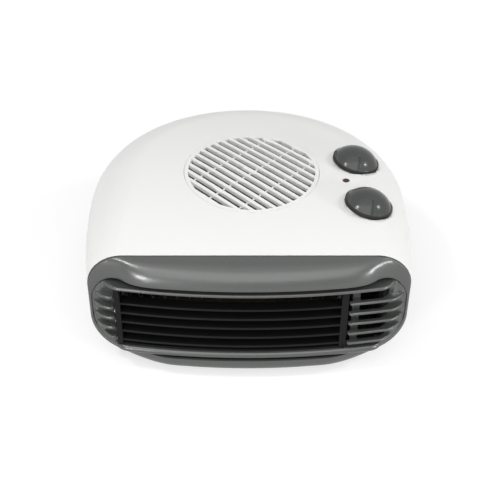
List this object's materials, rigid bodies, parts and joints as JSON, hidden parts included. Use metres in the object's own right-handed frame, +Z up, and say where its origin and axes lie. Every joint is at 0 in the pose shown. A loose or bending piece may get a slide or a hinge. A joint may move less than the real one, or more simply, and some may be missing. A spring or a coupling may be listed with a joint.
{
  "type": "fan heater",
  "caption": "Flat fan heater: round-backed hood, bowed front bezel with vanes and slats, roof inlet grille and knobs. It draws air in at the top and blows it out warm.",
  "frame": {"origin": "on the floor, under the middle of the housing", "axes": "+X to the right as seen from the front, +Y to the back, +Z up; the outlet faces -Y"},
  "size_m": [0.255, 0.2499, 0.1213],
  "materials": {
    "white_plastic": "smooth gloss moulding",
    "grey_plastic": "satin moulding, slightly green",
    "dark_plastic": "fine matte texture",
    "black_plastic": "matte, heat-resistant",
    "knob_plastic": "gloss moulding",
    "switch_plastic": "dull moulding",
    "nylon": "dull moulding",
    "red_lens": "tinted, unlit",
    "lamp_glass": "clear",
    "steel": "plated",
    "lamination": "stacked sheets, varnished",
    "copper": "enamelled winding",
    "brass": "stamped",
    "bronze": "sintered",
    "resistance_alloy": "dull, heat-tinted",
    "mica": "layered board",
    "porcelain": "unglazed",
    "rubber": "moulded"
  },
  "bodies": {
    "housing": {"upper_housing": "white_plastic", "inlet_grille": "white_plastic", "lower_housing": "dark_plastic", "front_bezel": "grey_plastic", "outlet_grille": "black_plastic", "indicator_lens": "red_lens", "foot_front_right": "rubber", "foot_front_left": "rubber", "foot_back_right": "rubber", "foot_back_left": "rubber", "housing_screws": "steel", "cord_gland": "rubber", "selector_switch": "switch_plastic", "thermostat_frame": "steel", "thermostat_stack": "porcelain", "thermostat_blade": "brass", "thermostat_contact": "brass", "control_nuts": "steel", "indicator_lamp": "lamp_glass", "motor_bracket_lower": "steel", "motor_bracket_upper": "steel", "motor_stator": "lamination", "motor_coil": "copper", "bearing_lower": "bronze", "bearing_upper": "bronze", "motor_screws": "steel", "blower_scroll": "nylon", "heater_frame": "mica", "heater_ribbon_1": "resistance_alloy", "heater_ribbon_2": "resistance_alloy", "heater_ribbon_3": "resistance_alloy", "thermal_cutout": "switch_plastic", "thermal_fuse": "porcelain"},
    "fan": {"impeller": "nylon", "motor_shaft": "steel", "motor_rotor": "lamination"},
    "selector": {"selector_knob": "knob_plastic", "selector_spindle": "steel"},
    "thermostat": {"thermostat_knob": "knob_plastic", "thermostat_spindle": "steel"}
  },
  "joints": [
    {"name": "fan_spin", "type": "hinge", "parent": "housing", "child": "fan", "pos_m": [0.0025, -0.0035, 0.048], "axis": [0, 0, 1], "continuous": true},
    {"name": "selector_turn", "type": "hinge", "parent": "housing", "child": "selector", "pos_m": [0.0902, -0.0464, 0.10598], "axis": [0.2079, 0, 0.9781], "range_deg": [-270, 0]},
    {"name": "thermostat_turn", "type": "hinge", "parent": "housing", "child": "thermostat", "pos_m": [0.0856, 0.0102, 0.10835], "axis": [0.1908, 0, 0.9816], "range_deg": [-280, 0]}
  ]
}
